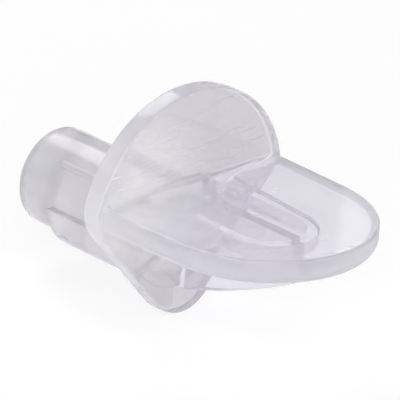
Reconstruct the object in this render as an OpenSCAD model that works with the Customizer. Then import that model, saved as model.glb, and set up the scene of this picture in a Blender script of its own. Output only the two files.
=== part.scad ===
// Shelf support pin: a push-in peg, a flange and a shelf tongue moulded as one clear piece.
// Millimetres. The origin is on the peg axis at the flange's back face, the face that
// meets the cabinet side. The tongue runs out along +X, the peg along -X, and +Z is up.

/* [Peg] */
// Radius of the plain nose that enters the hole first
nose_r = 2.75; // [2.4:0.05:2.9]
// Length of the peg from the flange to its free end
peg_length = 9.2; // [8:0.2:14]
// Rounding of the rim at the free end
nose_round = 0.3; // [0.1:0.05:0.8]
// Radius of the peg where it meets the flange, wider than the nose by its draft
root_r = 2.8; // [2.6:0.05:2.9]
// Distance from the flange to the plain nose
grip_length = 6.7; // [6.4:0.1:7]

/* [Fit in the hole] */
// Radius of the hole the peg is made for
hole_r = 3.175; // [3:0.025:3.3]
// Length of the half-round saddle
saddle_length = 6.35; // [4:0.05:6.4]
// Drop of the half-round saddle's ledge below the peg axis
saddle_drop = 0.3; // [0:0.1:1]
// Rounding of the saddle's leading edge
saddle_round = 0.15; // [0.05:0.05:0.4]
// Radius reached by the crests of the crush ribs
rib_crest_r = 2.95; // [2.9:0.05:3.1]
// Width of a crush rib
rib_w = 0.5; // [0.4:0.05:0.8]
// Angle of each crush rib above the horizontal
rib_angle = 45; // [30:5:60]

/* [Flange] */
// Thickness of the flange
flange_t = 1.25; // [1:0.05:2]
// Radius of the flange's round top
flange_r = 7; // [6.6:0.1:7.5]
// Height of the round top's centre above the peg axis
flange_z = 1.4; // [1:0.1:1.8]
// Radius of the shoulders where the outline turns inwards
shoulder_r = 2.3; // [1.8:0.1:2.6]
// Direction of the shoulders from the round top's centre, above the horizontal
shoulder_angle = 16.4; // [12:0.2:20]
// Radius of the lobe at the foot of the flange
lobe_r = 2.4; // [2:0.1:2.8]
// Depth of the lobe's centre below the peg axis
lobe_drop = 2.1; // [1.6:0.1:2.6]
// Rounding of the back face's rim
flange_round = 0.25; // [0.1:0.05:0.6]

/* [Tongue] */
// Height of the shelf face above the peg axis
shelf_z = 3.2; // [3:0.1:3.6]
// Thickness of the tongue
tongue_t = 1.45; // [1.1:0.05:1.8]
// Radius of the tongue's round end
tongue_r = 6.42; // [5.8:0.02:6.6]
// Distance of the round end's centre from the flange's back face
tongue_x = 6.22; // [5.6:0.02:9]
// Angle at which each side spreads towards the flange
tongue_taper = 1.5; // [0:0.25:5]
// Rounding of the shelf face's rim
tongue_round = 0.2; // [0.1:0.05:0.4]
// Rounding of the tongue's lower rim
tongue_foot = 0.65; // [0.1:0.05:0.7]
// Radius of the fillet between the shelf face and the flange
root_fillet_r = 0.35; // [0.1:0.05:0.6]

/* [Web and loop under the tongue] */
// Thickness of the web
web_t = 0.65; // [0.5:0.05:1.2]
// Depth of the web's foot at the flange, below the peg axis
web_root_drop = 3; // [2.4:0.05:3.4]
// Height of the web's lower edge at its front end
web_front_z = 0.28; // [-0.2:0.02:0.6]
// Bulge radius of the web's lower edge
web_edge_r = 40; // [20:5:120]
// Distance of the loop's round end from the flange's back face, to its centre
loop_x = 7; // [5.6:0.1:7.4]
// Outer radius of the loop's round end
loop_r = 2.7; // [2.4:0.05:3.2]
// Wall thickness at the loop's round end
loop_wall = 0.65; // [0.5:0.05:0.8]
// Angle at which the loop's outer sides spread towards the flange
loop_taper = 5; // [0:0.25:5]
// Height of the loop below the tongue
loop_h = 0.8; // [0.4:0.05:1.2]

/* [Hidden] */
$fn = 96;

clear_plastic = [0.83, 0.82, 0.87, 0.6];
overlap = 0.3; // how far one feature reaches into the next
rib_angles = [rib_angle, 180 - rib_angle];

tongue_under = shelf_z - tongue_t;

shoulder_reach = flange_r - shoulder_r;
shoulder_y = shoulder_reach * cos(shoulder_angle);
shoulder_z = flange_z + shoulder_reach * sin(shoulder_angle);
top_cut_z = flange_z + flange_r * sin(shoulder_angle);

flank_span = norm([shoulder_y, shoulder_z + lobe_drop]);
flank_turn = acos((lobe_r - shoulder_r) / flank_span);
flank_angle = atan2(shoulder_z + lobe_drop, shoulder_y) - flank_turn;
flank_length = flank_span * sin(flank_turn);

web_front_x = loop_x + loop_r - loop_wall / 2; // halfway through the loop's end wall
web_root = [flange_t, -web_root_drop];
web_front = [web_front_x, web_front_z];

// Centre of the arc of radius r through a and b that bulges to the right of a -> b
function arc_centre(a, b, r) =
    let (
        chord = b - a,
        left = [-chord[1], chord[0]] / norm(chord),
        rise = sqrt(r * r - chord * chord / 4)
    )
    (a + b) / 2 + rise * left;

// Section of a plate or cylinder of half width w and height h, its upper rim rounded
// and its lower rim too where a foot radius is given
module rim_section(w, h, rim, foot = 0) {
    translate([0, foot]) {
        square([w, h - rim - foot]);
        square([w - rim, h - foot]);
    }
    translate([w - rim, h - rim])
        circle(rim);
    if (foot > 0) {
        square([w - foot, h - rim]);
        translate([w - foot, foot])
            circle(foot);
    }
}

// Upright cylinder with rounded rims
module rimmed_disc(r, h, rim, foot = 0) {
    rotate_extrude()
        rim_section(r, h, rim, foot);
}

// Straight bar along +Y with the rims at +X rounded
module rimmed_bar(w, h, length, rim, foot = 0) {
    translate([0, length, 0])
        rotate([90, 0, 0])
            linear_extrude(length)
                rim_section(w, h, rim, foot);
}

// Turns a part drawn on the XY plane so that its upper face looks along -X and its +Y is up
module facing_back() {
    rotate([90, 0, -90])
        children();
}

// Crush rib along the peg, with a round crest and a round leading end
module crush_rib() {
    tip_r = rib_w / 2;
    translate([0, rib_crest_r - tip_r, 0]) {
        translate([0, 0, -overlap])
            cylinder(r = tip_r, h = grip_length - tip_r + overlap);
        translate([0, 0, grip_length - tip_r])
            sphere(tip_r);
    }
}

// Half-round saddle that carries the load on the lower half of the hole
module saddle() {
    difference() {
        rimmed_disc(hole_r, saddle_length, saddle_round);
        translate([-hole_r, -saddle_drop, -overlap])
            cube([2 * hole_r, 2 * hole_r, saddle_length + 2 * overlap]);
    }
}

module peg() {
    facing_back() {
        translate([0, 0, grip_length])
            rimmed_disc(nose_r, peg_length - grip_length, nose_round);
        cylinder(r1 = root_r, r2 = nose_r, h = grip_length);
        saddle();
        for (angle = rib_angles)
            rotate(angle - 90)
                crush_rib();
    }
}

// Straight side of the flange between the lobe and one shoulder
module flank() {
    translate([0, -lobe_drop, 0])
        rotate(flank_angle)
            rimmed_bar(lobe_r, flange_t, flank_length, flange_round);
}

module flange() {
    translate([flange_t, 0, 0])
        facing_back() {
            intersection() {
                translate([0, flange_z, 0])
                    rimmed_disc(flange_r, flange_t, flange_round);
                translate([-flange_r, top_cut_z, 0])
                    cube([2 * flange_r, flange_r, flange_t]);
            }
            for (side = [0, 1])
                mirror([side, 0, 0]) {
                    translate([shoulder_y, shoulder_z, 0])
                        rimmed_disc(shoulder_r, flange_t, flange_round);
                    flank();
                }
            translate([0, -lobe_drop, 0])
                rimmed_disc(lobe_r, flange_t, flange_round);
            linear_extrude(flange_t)
                polygon([
                    [0, -lobe_drop],
                    [shoulder_y, shoulder_z],
                    [shoulder_y, top_cut_z + overlap],
                    [-shoulder_y, top_cut_z + overlap],
                    [-shoulder_y, shoulder_z]
                ]);
        }
}

module tongue() {
    side_length = tongue_x - overlap;
    translate([tongue_x, 0, tongue_under]) {
        rimmed_disc(tongue_r, tongue_t, tongue_round, tongue_foot);
        for (side = [0, 1])
            mirror([0, side, 0])
                rotate(90 - tongue_taper)
                    rimmed_bar(tongue_r, tongue_t, side_length, tongue_round, tongue_foot);
    }
}

// Concave fillet in the corner where the shelf face meets the flange
module root_fillet() {
    half_width = tongue_r - tongue_round;
    translate([flange_t, half_width, shelf_z])
        rotate([90, 0, 0])
            linear_extrude(2 * half_width)
                difference() {
                    translate([-overlap, -overlap])
                        square(root_fillet_r + overlap);
                    translate([root_fillet_r, root_fillet_r])
                        circle(root_fillet_r);
                }
}

// Upright web on the centre plane, its lower edge a shallow arc
module web() {
    centre = arc_centre(web_root, web_front, web_edge_r);
    span = [web_front_x - flange_t + overlap, tongue_under + web_root_drop + 2 * overlap];
    translate([0, web_t / 2, 0])
        rotate([90, 0, 0])
            linear_extrude(web_t)
                intersection() {
                    translate([flange_t - overlap, -web_root_drop - overlap])
                        square(span);
                    translate(centre)
                        circle(web_edge_r, $fn = 720);
                }
}

// Flat outline with a round end, its straight sides spreading back to the flange
module loop_outline(r, taper) {
    start_x = flange_t - overlap;
    start_y = r / cos(taper) + (loop_x - start_x) * tan(taper);
    tangent = [loop_x + r * sin(taper), r * cos(taper)];
    translate([loop_x, 0])
        circle(r);
    polygon([
        [start_x, -start_y],
        [tangent[0], -tangent[1]],
        tangent,
        [start_x, start_y]
    ]);
}

// Low stiffening wall that runs round under the tongue
module stiffening_loop() {
    translate([0, 0, tongue_under - loop_h])
        linear_extrude(loop_h + overlap)
            difference() {
                loop_outline(loop_r, loop_taper);
                loop_outline(loop_r - loop_wall, 0);
            }
}

module shelf_pin() {
    color(clear_plastic) {
        peg();
        flange();
        tongue();
        root_fillet();
        web();
        stiffening_loop();
    }
}

shelf_pin();
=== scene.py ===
import math
import bpy
import bmesh
from mathutils import Matrix, Vector


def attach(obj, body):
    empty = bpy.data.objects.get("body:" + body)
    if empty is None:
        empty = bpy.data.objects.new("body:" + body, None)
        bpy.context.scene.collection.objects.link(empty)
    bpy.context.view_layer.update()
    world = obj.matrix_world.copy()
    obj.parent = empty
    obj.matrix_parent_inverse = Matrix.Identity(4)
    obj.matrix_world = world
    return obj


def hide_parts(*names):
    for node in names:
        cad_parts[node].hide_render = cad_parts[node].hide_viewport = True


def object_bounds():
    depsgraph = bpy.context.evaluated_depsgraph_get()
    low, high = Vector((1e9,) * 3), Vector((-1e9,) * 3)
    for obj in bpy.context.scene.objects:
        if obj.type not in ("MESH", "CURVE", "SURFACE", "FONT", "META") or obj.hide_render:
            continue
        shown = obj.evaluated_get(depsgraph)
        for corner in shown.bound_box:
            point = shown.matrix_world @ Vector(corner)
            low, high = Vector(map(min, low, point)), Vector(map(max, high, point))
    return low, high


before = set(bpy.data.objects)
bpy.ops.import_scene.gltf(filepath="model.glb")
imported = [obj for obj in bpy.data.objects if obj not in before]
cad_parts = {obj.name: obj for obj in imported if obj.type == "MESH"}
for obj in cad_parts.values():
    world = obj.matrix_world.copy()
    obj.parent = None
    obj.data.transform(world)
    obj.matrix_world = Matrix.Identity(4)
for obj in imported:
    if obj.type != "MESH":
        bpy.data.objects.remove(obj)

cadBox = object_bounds()
millimetre = 0.001
scene = bpy.context.scene


# camera and picture

cameraLook = {
    "back": (0.63361, -0.66611, 0.39349),
    "right": (0.70116, 0.70938, 0.07182),
    "up": (-0.32697, 0.23039, 0.91652),
    "distance": 276.50,  # mm from the peg's root to the lens
    "sideways": 1.5248,
    "upwards": 1.5182,
    "lens": 465.3,
}


def addCamera(look):
    right = Vector(look["right"])
    up = Vector(look["up"])
    back = Vector(look["back"])
    place = back * look["distance"] + right * look["sideways"] + up * look["upwards"]
    place *= millimetre
    data = bpy.data.cameras.new("studioCamera")
    data.lens = look["lens"]
    data.sensor_width = 36
    data.clip_start = 0.01
    data.clip_end = 10
    camera = bpy.data.objects.new("studioCamera", data)
    turn = Matrix((right, up, back)).transposed().to_4x4()
    camera.matrix_world = Matrix.Translation(place) @ turn
    scene.collection.objects.link(camera)
    scene.camera = camera


addCamera(cameraLook)
print("camera in place")


# helpers for the solids, which are all worked in mm and joined before they are scaled

near = 0.001  # mm, closer than this counts as the same place
overlap = 0.3  # mm, how far one solid reaches into the next


def tidySolid(bm):
    bmesh.ops.remove_doubles(bm, verts=bm.verts, dist=0.0005)
    bmesh.ops.recalc_face_normals(bm, faces=bm.faces)


def softenEdges(bm, chosen, width, segments):
    edges = [edge for edge in bm.edges if chosen(edge)]
    bmesh.ops.bevel(
        bm,
        geom=edges,
        offset=width,
        offset_type="OFFSET",
        segments=segments,
        profile=0.5,
        affect="EDGES",
        clamp_overlap=True,
        material=-1,
    )


def bothAt(edge, axis, value):
    return all(abs(vert.co[axis] - value) < near for vert in edge.verts)


def asObject(bm, name):
    tidySolid(bm)
    mesh = bpy.data.meshes.new(name)
    bm.to_mesh(mesh)
    bm.free()
    obj = bpy.data.objects.new(name, mesh)
    scene.collection.objects.link(obj)
    return obj


def combine(base, other, operation):
    joiner = base.modifiers.new("joiner", "BOOLEAN")
    joiner.object = other
    joiner.operation = operation
    joiner.solver = "EXACT"
    graph = bpy.context.evaluated_depsgraph_get()
    result = bpy.data.meshes.new_from_object(base.evaluated_get(graph))
    base.modifiers.clear()
    base.data = result
    bpy.data.objects.remove(other)


def turnedSolid(profile, segments):
    # closes a profile of (place along the peg, radius) round the peg axis
    bm = bmesh.new()
    verts = [bm.verts.new((x, 0, radius)) for x, radius in profile]
    edges = [bm.edges.new(pair) for pair in zip(verts, verts[1:])]
    bmesh.ops.spin(
        bm,
        geom=verts + edges,
        cent=(0, 0, 0),
        axis=(1, 0, 0),
        angle=math.tau,
        steps=segments,
        use_merge=True,
    )
    tidySolid(bm)
    return bm


def hullPlate(bm, thickness):
    # wraps the outline points and their copies one thickness away into a plate
    copies = bmesh.ops.duplicate(bm, geom=list(bm.verts))["geom"]
    moved = [item for item in copies if isinstance(item, bmesh.types.BMVert)]
    bmesh.ops.translate(bm, verts=moved, vec=thickness)
    bmesh.ops.convex_hull(bm, input=list(bm.verts))
    spare = [vert for vert in bm.verts if not vert.link_faces]
    bmesh.ops.delete(bm, geom=spare, context="VERTS")
    loose = [edge for edge in bm.edges if not edge.link_faces]
    bmesh.ops.delete(bm, geom=loose, context="EDGES")
    flat = math.radians(0.4)
    bmesh.ops.dissolve_limit(bm, angle_limit=flat, verts=bm.verts, edges=bm.edges)
    tidySolid(bm)


def addCircle(bm, centre, radius, turn, segments):
    place = Matrix.Translation(centre) @ turn
    return bmesh.ops.create_circle(bm, segments=segments, radius=radius, matrix=place)["verts"]


acrossPeg = Matrix.Rotation(math.pi / 2, 4, "Y")  # turns a flat circle to face along the peg
lyingFlat = Matrix.Identity(4)


# peg

pegShape = {
    "rootRadius": 2.8,
    "noseRadius": 2.75,
    "length": 9.2,
    "gripLength": 6.7,
    "leadLength": 0.5,
    "leadDrop": 0.05,
    "endRound": 0.26,
    "segments": 144,
}


def makePeg(shape):
    end = -shape["length"]
    profile = [
        (overlap, 0),
        (overlap, shape["rootRadius"]),
        (0, shape["rootRadius"]),
        (-shape["gripLength"], shape["noseRadius"]),
        (end + shape["leadLength"], shape["noseRadius"]),
        (end, shape["noseRadius"] - shape["leadDrop"]),
        (end, 0),
    ]
    bm = turnedSolid(profile, shape["segments"])

    def endRim(edge):
        return bothAt(edge, 0, end) and all(vert.co.yz.length > near for vert in edge.verts)

    softenEdges(bm, endRim, shape["endRound"], segments=6)
    return asObject(bm, "peg")


# half-round saddle under the peg

saddleShape = {
    "radius": 3.175,
    "length": 6.35,
    "ledge": -0.3,
    "frontRound": 0.15,
    "ledgeRound": 0.1,
    "ledgeSide": 3,  # mm from the middle, past which the ledge's edges are softened
    "segments": 160,
}


def makeSaddle(shape):
    front = -shape["length"]
    ledge = shape["ledge"]
    profile = [(overlap, 0), (overlap, shape["radius"]), (front, shape["radius"]), (front, 0)]
    bm = turnedSolid(profile, shape["segments"])
    whole = list(bm.verts) + list(bm.edges) + list(bm.faces)
    bmesh.ops.bisect_plane(
        bm,
        geom=whole,
        dist=near,
        plane_co=(0, 0, ledge),
        plane_no=(0, 0, 1),
        clear_outer=True,
    )
    openEdges = [edge for edge in bm.edges if edge.is_boundary]
    bmesh.ops.contextual_create(bm, geom=openEdges)
    tidySolid(bm)
    softenEdges(bm, lambda edge: bothAt(edge, 0, front), shape["frontRound"], segments=4)

    def ledgeSide(edge):
        outer = all(abs(vert.co.y) > shape["ledgeSide"] for vert in edge.verts)
        return outer and bothAt(edge, 2, ledge)

    softenEdges(bm, ledgeSide, shape["ledgeRound"], segments=4)
    return asObject(bm, "saddle")


# crush ribs on the peg's upper half

ribShape = {
    "crest": 2.95,  # mm from the peg axis
    "width": 0.5,
    "length": 6.7,
    "tipRound": 0.24,
    "angles": (45, 135),  # degrees above the horizontal, either side
}


def makeRib(shape, angle):
    radius = shape["width"] / 2
    depth = shape["length"] + overlap
    place = Matrix.Rotation(math.radians(angle), 4, "X")
    place @= Matrix.Translation((overlap - depth / 2, shape["crest"] - radius, 0)) @ acrossPeg
    bm = bmesh.new()
    bmesh.ops.create_cone(
        bm,
        cap_ends=True,
        segments=32,
        radius1=radius,
        radius2=radius,
        depth=depth,
        matrix=place,
    )
    tip = -shape["length"]
    softenEdges(bm, lambda edge: bothAt(edge, 0, tip), shape["tipRound"], segments=6)
    return asObject(bm, "crushRib")


# flange

flangeShape = {
    "thickness": 1.25,
    "topRadius": 7,
    "topHeight": 1.4,
    "shoulderRadius": 2.3,
    "shoulderAngle": 16.4,
    "lobeRadius": 2.4,
    "lobeDrop": 2.1,
    "backRound": 0.25,
    "frontRound": 0.12,
    "segments": 240,
}


def makeFlange(shape):
    angle = math.radians(shape["shoulderAngle"])
    reach = shape["topRadius"] - shape["shoulderRadius"]
    shoulderY = reach * math.cos(angle)
    shoulderZ = shape["topHeight"] + reach * math.sin(angle)
    cut = shape["topHeight"] + shape["topRadius"] * math.sin(angle)
    thickness = shape["thickness"]
    fine = shape["segments"]
    bm = bmesh.new()
    top = addCircle(bm, (0, 0, shape["topHeight"]), shape["topRadius"], acrossPeg, fine)
    below = [vert for vert in top if vert.co.z < cut]
    bmesh.ops.delete(bm, geom=below, context="VERTS")
    for side in (-1, 1):
        centre = (0, side * shoulderY, shoulderZ)
        addCircle(bm, centre, shape["shoulderRadius"], acrossPeg, fine // 2)
    addCircle(bm, (0, 0, -shape["lobeDrop"]), shape["lobeRadius"], acrossPeg, fine // 2)
    hullPlate(bm, (thickness, 0, 0))
    softenEdges(bm, lambda edge: bothAt(edge, 0, 0), shape["backRound"], segments=5)
    softenEdges(bm, lambda edge: bothAt(edge, 0, thickness), shape["frontRound"], segments=4)
    return asObject(bm, "flange")


# tongue

tongueShape = {
    "shelfHeight": 3.2,
    "thickness": 1.45,
    "endRadius": 6.42,
    "endCentre": 6.22,
    "taper": 1.5,
    "topRound": 0.2,
    "lowerRound": 0.65,
    "filletRadius": 0.35,
    "segments": 256,
}
rootX = 0.7  # where the tongue, web and loop start inside the flange


def rootedOutline(bm, centreX, height, radius, taper, segments):
    # a round end and the two points where its straight sides meet the root
    turn = math.radians(taper)
    spread = radius / math.cos(turn) + (centreX - rootX) * math.tan(turn)
    addCircle(bm, (centreX, 0, height), radius, lyingFlat, segments)
    for side in (-1, 1):
        bm.verts.new((rootX, side * spread, height))


def freeRim(edge, height):
    # a level edge that isn't buried in the flange
    return bothAt(edge, 2, height) and not bothAt(edge, 0, rootX)


def makeTongue(shape):
    top = shape["shelfHeight"]
    under = top - shape["thickness"]
    bm = bmesh.new()
    outline = (shape["endCentre"], under, shape["endRadius"], shape["taper"], shape["segments"])
    rootedOutline(bm, *outline)
    hullPlate(bm, (0, 0, shape["thickness"]))
    softenEdges(bm, lambda edge: freeRim(edge, top), shape["topRound"], segments=5)
    softenEdges(bm, lambda edge: freeRim(edge, under), shape["lowerRound"], segments=8)
    return asObject(bm, "tongue")


def makeRootFillet(shape, flange):
    radius = shape["filletRadius"]
    corner = Vector((flange["thickness"], 0, shape["shelfHeight"]))
    half = shape["endRadius"] - shape["topRound"]
    bm = bmesh.new()
    start = bm.verts.new(corner + Vector((radius, -half, 0)))
    centre = corner + Vector((radius, -half, radius))
    quarter = math.pi / 2
    arc = bmesh.ops.spin(bm, geom=[start], cent=centre, axis=(0, 1, 0), angle=quarter, steps=8)
    back = bm.verts.new(corner + Vector((-overlap, -half, radius)))
    low = bm.verts.new(corner + Vector((-overlap, -half, -overlap)))
    front = bm.verts.new(corner + Vector((radius, -half, -overlap)))
    last = arc["geom_last"][0]
    for pair in ((last, back), (back, low), (low, front), (front, start)):
        bm.edges.new(pair)
    face = bmesh.ops.contextual_create(bm, geom=list(bm.edges))["faces"]
    pushed = bmesh.ops.extrude_face_region(bm, geom=face)["geom"]
    moved = [item for item in pushed if isinstance(item, bmesh.types.BMVert)]
    bmesh.ops.translate(bm, verts=moved, vec=(0, 2 * half, 0))
    return asObject(bm, "rootFillet")


# web and loop under the tongue

webShape = {
    "thickness": 0.65,
    "rootDrop": -3.0,
    "front": (9.375, 0.28),
    "edgeRadius": 40,
    "edgeRound": 0.12,
    "arcReach": 0.01,  # mm, how near a point lies to the lower edge's arc
}
loopShape = {
    "endCentre": 7,
    "outerRadius": 2.7,
    "wall": 0.65,
    "taper": 5,
    "height": 0.8,
    "edgeRound": 0.12,
    "segments": 160,
}


def makeWeb(shape, tongue, flange):
    under = tongue["shelfHeight"] - tongue["thickness"]
    root = Vector((flange["thickness"], 0, shape["rootDrop"]))
    front = Vector((shape["front"][0], 0, shape["front"][1]))
    chord = front - root
    radius = shape["edgeRadius"]
    rise = math.sqrt(radius ** 2 - chord.length_squared / 4)
    centre = (root + front) / 2 + Vector((-chord.z, 0, chord.x)).normalized() * rise
    half = shape["thickness"] / 2
    slip = Vector((0, -half, 0))
    bm = bmesh.new()
    start = bm.verts.new(root + slip)
    sweep = (front - centre).angle(root - centre)
    arc = bmesh.ops.spin(
        bm, geom=[start], cent=centre + slip, axis=(0, -1, 0), angle=sweep, steps=24
    )
    last = arc["geom_last"][0]
    topFront = bm.verts.new((front.x, -half, under + overlap))
    topBack = bm.verts.new((rootX, -half, under + overlap))
    lowBack = bm.verts.new((rootX, -half, root.z))
    for pair in ((last, topFront), (topFront, topBack), (topBack, lowBack), (lowBack, start)):
        bm.edges.new(pair)
    face = bmesh.ops.contextual_create(bm, geom=list(bm.edges))["faces"]
    pushed = bmesh.ops.extrude_face_region(bm, geom=face)["geom"]
    moved = [item for item in pushed if isinstance(item, bmesh.types.BMVert)]
    bmesh.ops.translate(bm, verts=moved, vec=(0, 2 * half, 0))
    tidySolid(bm)

    def onArc(vert):
        spoke = Vector((vert.co.x, 0, vert.co.z)) - centre
        return abs(spoke.length - radius) < shape["arcReach"]

    def lowerEdge(edge):
        first, second = edge.verts
        along = abs(first.co.y - second.co.y) < near
        return along and onArc(first) and onArc(second)

    softenEdges(bm, lowerEdge, shape["edgeRound"], segments=4)
    return asObject(bm, "web")


def makeLoop(shape, tongue):
    under = tongue["shelfHeight"] - tongue["thickness"]
    low = under - shape["height"]
    end = shape["endCentre"]
    fine = shape["segments"]
    outer = bmesh.new()
    rootedOutline(outer, end, low, shape["outerRadius"], shape["taper"], fine)
    hullPlate(outer, (0, 0, shape["height"] + overlap))
    softenEdges(outer, lambda edge: freeRim(edge, low), shape["edgeRound"], segments=4)
    loop = asObject(outer, "loop")
    inner = bmesh.new()
    bore = shape["outerRadius"] - shape["wall"]
    rootedOutline(inner, end, low - overlap, bore, 0, fine)
    hullPlate(inner, (0, 0, shape["height"] + 3 * overlap))
    combine(loop, asObject(inner, "loopBore"), "DIFFERENCE")
    return loop


# all of it as one moulding

finish = {
    "sharpAngle": 32,
    "mattFlangeRim": 0.3,  # how frosted the moulded rims are left, from 0 to 1
    "mattTongueRim": 0.85,
    # painted highlights: the ledge, nose end and rib crests are frosted so that they show lighter
    "ledgeHighlightFrost": 0.7,
    "noseHighlightFrost": 1,
    "ribHighlightFrost": 0.8,
    "mattPeg": 0.35,
    "paintedShadePeg": 0.5,  # how far the peg takes the flange face's painted shade
    "paintedShadeShelf": 0.2,
    "sideOn": 0.8,  # a face that leans less than this out of a plane belongs to its rim
    "faceOn": 0.9,
    "endOn": 0.95,
    "close": 0.02,  # mm
    "ribReach": 0.1,  # mm below the crest that counts as the rib
}


def frostAndHighlightOf(face):
    # rims of the flange and tongue come out of the mould less polished than the faces; the nose
    # end, rib crests and ledge are frosted as painted highlights
    place = face.calc_center_median()
    way = face.normal
    thick = flangeShape["thickness"]
    top = tongueShape["shelfHeight"]
    under = top - tongueShape["thickness"]
    if 0 < place.x < thick and abs(way.x) < finish["sideOn"]:
        return finish["mattFlangeRim"]
    if place.x > thick and under < place.z < top and abs(way.z) < finish["sideOn"]:
        return finish["mattTongueRim"]
    if place.x >= 0:
        return 0
    # painted highlights on the ledge, rib crests and nose end
    if way.z > finish["faceOn"] and abs(place.z - saddleShape["ledge"]) < finish["close"]:
        return finish["ledgeHighlightFrost"]
    if place.z > 0 and place.yz.length > ribShape["crest"] - finish["ribReach"]:
        return finish["ribHighlightFrost"]
    if place.x < pegShape["leadLength"] - pegShape["length"] and abs(way.x) < finish["endOn"]:
        return finish["noseHighlightFrost"]
    return finish["mattPeg"]


def paintedShadeOf(face):
    # painted shade: the flange's front face takes the full darker tint, the peg part way and the
    # shelf's top a little, standing for the darker tone seen through them
    place = face.calc_center_median()
    way = face.normal
    onFront = abs(place.x - flangeShape["thickness"]) < finish["close"]
    if onFront and way.x > finish["faceOn"]:
        return 1
    onShelf = abs(place.z - tongueShape["shelfHeight"]) < finish["close"]
    if place.x > 0 and onShelf and way.z > finish["faceOn"]:
        return finish["paintedShadeShelf"]
    return finish["paintedShadePeg"] if place.x < 0 else 0


def makePin():
    pin = makeFlange(flangeShape)
    pin.name = "clearPin"
    parts = [makePeg(pegShape), makeSaddle(saddleShape)]
    parts += [makeRib(ribShape, angle) for angle in ribShape["angles"]]
    parts += [makeTongue(tongueShape), makeRootFillet(tongueShape, flangeShape)]
    parts += [makeWeb(webShape, tongueShape, flangeShape), makeLoop(loopShape, tongueShape)]
    for part in parts:
        combine(pin, part, "UNION")
    mesh = pin.data
    mesh.name = "clearPin"
    bm = bmesh.new()
    bm.from_mesh(mesh)
    tidySolid(bm)
    openEdges = [edge for edge in bm.edges if not edge.is_manifold]
    print("open or doubled edges:", len(openEdges), "faces:", len(bm.faces))
    # frosting per face, including the painted highlights
    frostAndHighlight = bm.faces.layers.float.new("frostAndHighlight")
    # painted shade, per face
    paintedShade = bm.faces.layers.float.new("paintedShade")
    for face in bm.faces:
        face[frostAndHighlight] = frostAndHighlightOf(face)
        face[paintedShade] = paintedShadeOf(face)
    bmesh.ops.scale(bm, vec=(millimetre,) * 3, verts=bm.verts)
    bm.to_mesh(mesh)
    bm.free()
    mesh.shade_smooth()
    mesh.set_sharp_from_angle(angle=math.radians(finish["sharpAngle"]))
    weigh = pin.modifiers.new("weightedNormals", "WEIGHTED_NORMAL")
    weigh.keep_sharp = True
    return pin


pin = makePin()
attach(pin, "root")
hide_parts("shelf_pin")
print("pin modelled")


# clear plastic

plasticLook = {
    "tint": (0.935, 0.92, 0.975, 1),
    # tint of frosted faces, also used for the painted highlights on the nose end, ribs and ledge
    "frostAndHighlightTint": (0.68, 0.665, 0.71, 1),
    # painted shade: the darker tint of the flange face, given part way to the peg and shelf
    "paintedShadeTint": (0.68, 0.665, 0.695, 1),
    "speckTint": (0.03, 0.025, 0.025, 1),
    "ior": 1.5,
    "roughness": 0.04,
    "mattRoughness": 0.3,
    "scratchRoughness": 0.25,
    "clearness": 0.95,
    "mattClearness": 0.6,
    "haze": 0.18,
    "hazeDrift": 0.05,  # how far the haze swings either way along the flow of the plastic
    "scratchHaze": 0.25,
    "flowScale": 260,
    "flowDetail": 3,
    "flowSpan": (0.25, 0.75),
    "waveScale": 330,  # one wave in about 3 mm
    "waveDetail": 1,
    "waveDepth": 0.0000006,  # m
    "paintedGlowCentre": (0.0012, -0.0042, 0.0026),  # m, middle of a painted pool of light round the tongue's near root
    "paintedGlowNear": 0.0012,
    "paintedGlowFar": 0.0062,
    "paintedGlowHaze": 0.4,
    # colour of the painted pool of light
    "paintedGlowTint": (0.945, 0.94, 0.955, 1),
    "scratchTurn": 9,  # degrees off level
    "scratchStretch": 0.03,
    "scratchScale": 15000,
    "scratchDetail": 2,
    "scratchGrey": 0.9,  # only a face with this much painted shade, the flange's front face, is scratched
    "scratchFrom": 0.635,
    "scratchTo": 0.71,
    "scratchDepth": 0.0000027,  # m
    "speckScale": 420,
    "speckSize": 0.03,
    "speckShare": 0.07,
}


def calculate(nodes, links, operation, first, second):
    step = nodes.new("ShaderNodeMath")
    step.operation = operation
    for socket, value in zip(step.inputs, (first, second)):
        if isinstance(value, bpy.types.NodeSocket):
            links.new(value, socket)
        else:
            socket.default_value = value
    return step.outputs[0]


def blend(nodes, links, amount, low, high, start=0, stop=1):
    # goes from low to high as the amount goes from start to stop
    span = nodes.new("ShaderNodeMapRange")
    span.inputs["From Min"].default_value = start
    span.inputs["From Max"].default_value = stop
    span.inputs["To Min"].default_value = low
    span.inputs["To Max"].default_value = high
    links.new(amount, span.inputs["Value"])
    return span.outputs["Result"]


def blendColour(nodes, links, amount, low, high):
    mix = nodes.new("ShaderNodeMix")
    mix.data_type = "RGBA"
    links.new(amount, mix.inputs[0])
    for socket, value in ((mix.inputs[6], low), (mix.inputs[7], high)):
        if isinstance(value, bpy.types.NodeSocket):
            links.new(value, socket)
        else:
            socket.default_value = value
    return mix.outputs[2]


def noiseAt(nodes, links, place, scale, detail):
    noise = nodes.new("ShaderNodeTexNoise")
    noise.inputs["Scale"].default_value = scale
    noise.inputs["Detail"].default_value = detail
    links.new(place, noise.inputs["Vector"])
    return noise.outputs["Fac"]


def addBump(nodes, links, height, depth, below):
    bump = nodes.new("ShaderNodeBump")
    bump.inputs["Distance"].default_value = depth
    links.new(height, bump.inputs["Height"])
    if below:
        links.new(below, bump.inputs["Normal"])
    return bump.outputs["Normal"]


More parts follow.
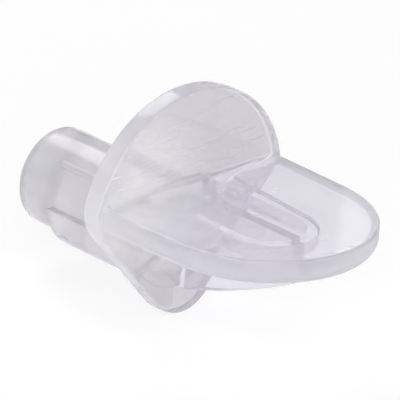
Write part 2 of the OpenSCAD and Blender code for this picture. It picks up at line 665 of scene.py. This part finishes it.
def makePlastic(look):
    mat = bpy.data.materials.new("clearPlastic")
    mat.use_nodes = True
    nodes = mat.node_tree.nodes
    links = mat.node_tree.links
    shader = nodes["Principled BSDF"]
    shader.inputs["IOR"].default_value = look["ior"]
    place = nodes.new("ShaderNodeTexCoord").outputs["Object"]
    attributes = {}
    for name in ("frostAndHighlight", "paintedShade"):
        read = nodes.new("ShaderNodeAttribute")
        read.attribute_name = name
        attributes[name] = read.outputs["Fac"]

    # long faint scratches across the flange's front face, found by its painted shade
    turned = nodes.new("ShaderNodeMapping")
    turned.inputs["Rotation"].default_value = (math.radians(look["scratchTurn"]), 0, 0)
    turned.inputs["Scale"].default_value = (1, look["scratchStretch"], 1)
    links.new(place, turned.inputs["Vector"])
    streaks = noiseAt(nodes, links, turned.outputs[0], look["scratchScale"], look["scratchDetail"])
    rubbed = blend(nodes, links, streaks, 0, 1, look["scratchFrom"], look["scratchTo"])
    onFace = calculate(nodes, links, "GREATER_THAN", attributes["paintedShade"], look["scratchGrey"])
    apart = nodes.new("ShaderNodeSeparateXYZ")
    links.new(place, apart.inputs[0])
    shelf = tongueShape["shelfHeight"] * millimetre
    above = calculate(nodes, links, "GREATER_THAN", apart.outputs["Z"], shelf)
    scratch = calculate(nodes, links, "MULTIPLY", rubbed, onFace)
    scratch = calculate(nodes, links, "MULTIPLY", scratch, above)

    # a few specks caught in the plastic
    cells = nodes.new("ShaderNodeTexVoronoi")
    cells.inputs["Scale"].default_value = look["speckScale"]
    links.new(place, cells.inputs["Vector"])
    small = calculate(nodes, links, "LESS_THAN", cells.outputs["Distance"], look["speckSize"])
    rare = calculate(nodes, links, "LESS_THAN", cells.outputs["Color"], look["speckShare"])
    speck = calculate(nodes, links, "MULTIPLY", small, rare)

    # tint, with a painted pool of light as a lighter milky patch round the tongue's near root
    # frosted faces take their own tint, which also paints highlights on the nose end, ribs and
    # ledge
    colour = blendColour(nodes, links, attributes["frostAndHighlight"], look["tint"], look["frostAndHighlightTint"])
    # painted shade on the flange face, and part way on the peg and shelf
    colour = blendColour(nodes, links, attributes["paintedShade"], colour, look["paintedShadeTint"])
    # painted pool of light: lighter and milkier near its middle, fading out further away
    reach = nodes.new("ShaderNodeVectorMath")
    reach.operation = "DISTANCE"
    reach.inputs[1].default_value = look["paintedGlowCentre"]
    links.new(place, reach.inputs[0])
    paintedGlow = blend(nodes, links, reach.outputs["Value"], 1, 0, look["paintedGlowNear"], look["paintedGlowFar"])
    colour = blendColour(nodes, links, paintedGlow, colour, look["paintedGlowTint"])
    colour = blendColour(nodes, links, speck, colour, look["speckTint"])
    links.new(colour, shader.inputs["Base Color"])

    # gloss and clearness
    rough = blend(nodes, links, attributes["frostAndHighlight"], look["roughness"], look["mattRoughness"])
    rubbedRough = calculate(nodes, links, "MULTIPLY", scratch, look["scratchRoughness"])
    rough = calculate(nodes, links, "ADD", rough, rubbedRough)
    links.new(rough, shader.inputs["Roughness"])
    clear = blend(nodes, links, attributes["frostAndHighlight"], look["clearness"], look["mattClearness"])
    unspecked = calculate(nodes, links, "SUBTRACT", 1, speck)
    clear = calculate(nodes, links, "MULTIPLY", clear, unspecked)
    links.new(clear, shader.inputs["Transmission Weight"])

    # long waves in the surface, and the scratches
    wave = noiseAt(nodes, links, place, look["waveScale"], look["waveDetail"])
    surface = addBump(nodes, links, wave, look["waveDepth"], None)
    surface = addBump(nodes, links, scratch, look["scratchDepth"], surface)
    links.new(surface, shader.inputs["Normal"])

    # milkiness that passes light on sideways
    haze = nodes.new("ShaderNodeBsdfTranslucent")
    links.new(colour, haze.inputs["Color"])
    flow = noiseAt(nodes, links, place, look["flowScale"], look["flowDetail"])
    least = look["haze"] - look["hazeDrift"]
    most = look["haze"] + look["hazeDrift"]
    share = blend(nodes, links, flow, least, most, *look["flowSpan"])
    # the painted pool of light also makes the plastic milkier there
    cloud = calculate(nodes, links, "MULTIPLY", paintedGlow, flow)
    cloud = calculate(nodes, links, "MULTIPLY", cloud, look["paintedGlowHaze"])
    share = calculate(nodes, links, "ADD", share, cloud)
    rubbedHaze = calculate(nodes, links, "MULTIPLY", scratch, look["scratchHaze"])
    share = calculate(nodes, links, "ADD", share, rubbedHaze)
    both = nodes.new("ShaderNodeMixShader")
    links.new(share, both.inputs[0])
    links.new(shader.outputs[0], both.inputs[1])
    links.new(haze.outputs[0], both.inputs[2])
    links.new(both.outputs[0], nodes["Material Output"].inputs["Surface"])
    return mat


pin.data.materials.clear()
pin.data.materials.append(makePlastic(plasticLook))
print("plastic applied")


# studio

studio = {
    "floorDrop": 0.1,  # mm below the pin
    "floorHalf": 400,
    "floorPaper": 0.82,  # how much of the light the paper throws back onto the pin
    "floorSeen": 0.4,  # how much of it is seen, so that it doesn't glare close to a lamp
    "floorGlow": 0.69,
    "worldColour": (0.9, 0.9, 0.93, 1),
    "worldStrength": 0.22,
    "sweepInGloss": 0.5,
    "sweepThrough": 1,  # the white that shows through the plastic
}
softboxes = [
    # name, direction, distance, side, brightness, shift, seen through the plastic
    ("backBox", (-0.634, 0.666, 0.393), 220, 140, 0.7, (-85, 10), True),
    ("upperBox", (-0.634, 0.257, 0.73), 220, 100, 3.5, (0, 0), False),
    ("rightBox", (0.8, 0.25, 0.55), 220, 120, 0.5, (0, 0), True),
    ("topBox", (0.25, -0.2, 1), 240, 160, 1.3, (0, 0), True),
    ("frontBox", (0.634, -0.666, 0.393), 320, 260, 3.1, (0, 0), True),
]


def directRays(nodes, links):
    # 1 for rays from the lens and for those that a gloss or clear plastic sends on
    path = nodes.new("ShaderNodeLightPath").outputs
    seen = calculate(nodes, links, "MAXIMUM", path["Is Camera Ray"], path["Is Glossy Ray"])
    return calculate(nodes, links, "MAXIMUM", seen, path["Is Transmission Ray"])


def makeFloor(look):
    bm = bmesh.new()
    bmesh.ops.create_grid(bm, x_segments=1, y_segments=1, size=look["floorHalf"] * millimetre)
    low = cadBox[0].z - look["floorDrop"] * millimetre
    bmesh.ops.translate(bm, verts=bm.verts, vec=(0, 0, low))
    mesh = bpy.data.meshes.new("paleFloor")
    bm.to_mesh(mesh)
    bm.free()
    floor = bpy.data.objects.new("paleFloor", mesh)
    scene.collection.objects.link(floor)
    mat = bpy.data.materials.new("palePaper")
    mat.use_nodes = True
    nodes = mat.node_tree.nodes
    links = mat.node_tree.links
    nodes.clear()
    paper = nodes.new("ShaderNodeBsdfDiffuse")
    glow = nodes.new("ShaderNodeEmission")
    direct = directRays(nodes, links)
    shade = blend(nodes, links, direct, look["floorPaper"], look["floorSeen"])
    links.new(shade, paper.inputs["Color"])
    links.new(blend(nodes, links, direct, 0, look["floorGlow"]), glow.inputs["Strength"])
    both = nodes.new("ShaderNodeAddShader")
    links.new(paper.outputs[0], both.inputs[0])
    links.new(glow.outputs[0], both.inputs[1])
    out = nodes.new("ShaderNodeOutputMaterial")
    links.new(both.outputs[0], out.inputs["Surface"])
    mesh.materials.append(mat)


def makeWorld(look):
    world = bpy.data.worlds.new("studioWorld")
    scene.world = world
    world.use_nodes = True
    nodes = world.node_tree.nodes
    links = world.node_tree.links
    room = nodes["Background"]
    room.inputs["Color"].default_value = look["worldColour"]
    room.inputs["Strength"].default_value = look["worldStrength"]
    sweep = nodes.new("ShaderNodeBackground")
    sweep.inputs["Color"].default_value = (1, 1, 1, 1)
    through = nodes.new("ShaderNodeLightPath").outputs["Is Transmission Ray"]
    level = blend(nodes, links, through, look["sweepInGloss"], look["sweepThrough"])
    links.new(level, sweep.inputs["Strength"])
    choice = nodes.new("ShaderNodeMixShader")
    links.new(directRays(nodes, links), choice.inputs[0])
    links.new(room.outputs[0], choice.inputs[1])
    links.new(sweep.outputs[0], choice.inputs[2])
    links.new(choice.outputs[0], nodes["World Output"].inputs["Surface"])


def addSoftbox(name, way, distance, side, glow, shift, seen):
    # shift moves the box sideways and upwards in its own plane, in mm
    data = bpy.data.lights.new(name, "AREA")
    data.size = side * millimetre
    data.energy = glow * math.pi * data.size ** 2
    lamp = bpy.data.objects.new(name, data)
    turn = Vector(way).to_track_quat("Z", "Y").to_matrix().to_4x4()
    place = Matrix.Translation(Vector((shift[0], shift[1], distance)) * millimetre)
    lamp.matrix_world = turn @ place
    lamp.visible_transmission = seen
    scene.collection.objects.link(lamp)


makeFloor(studio)
makeWorld(studio)
for box in softboxes:
    addSoftbox(*box)
scene.view_settings.view_transform = "Standard"
print("studio lit")
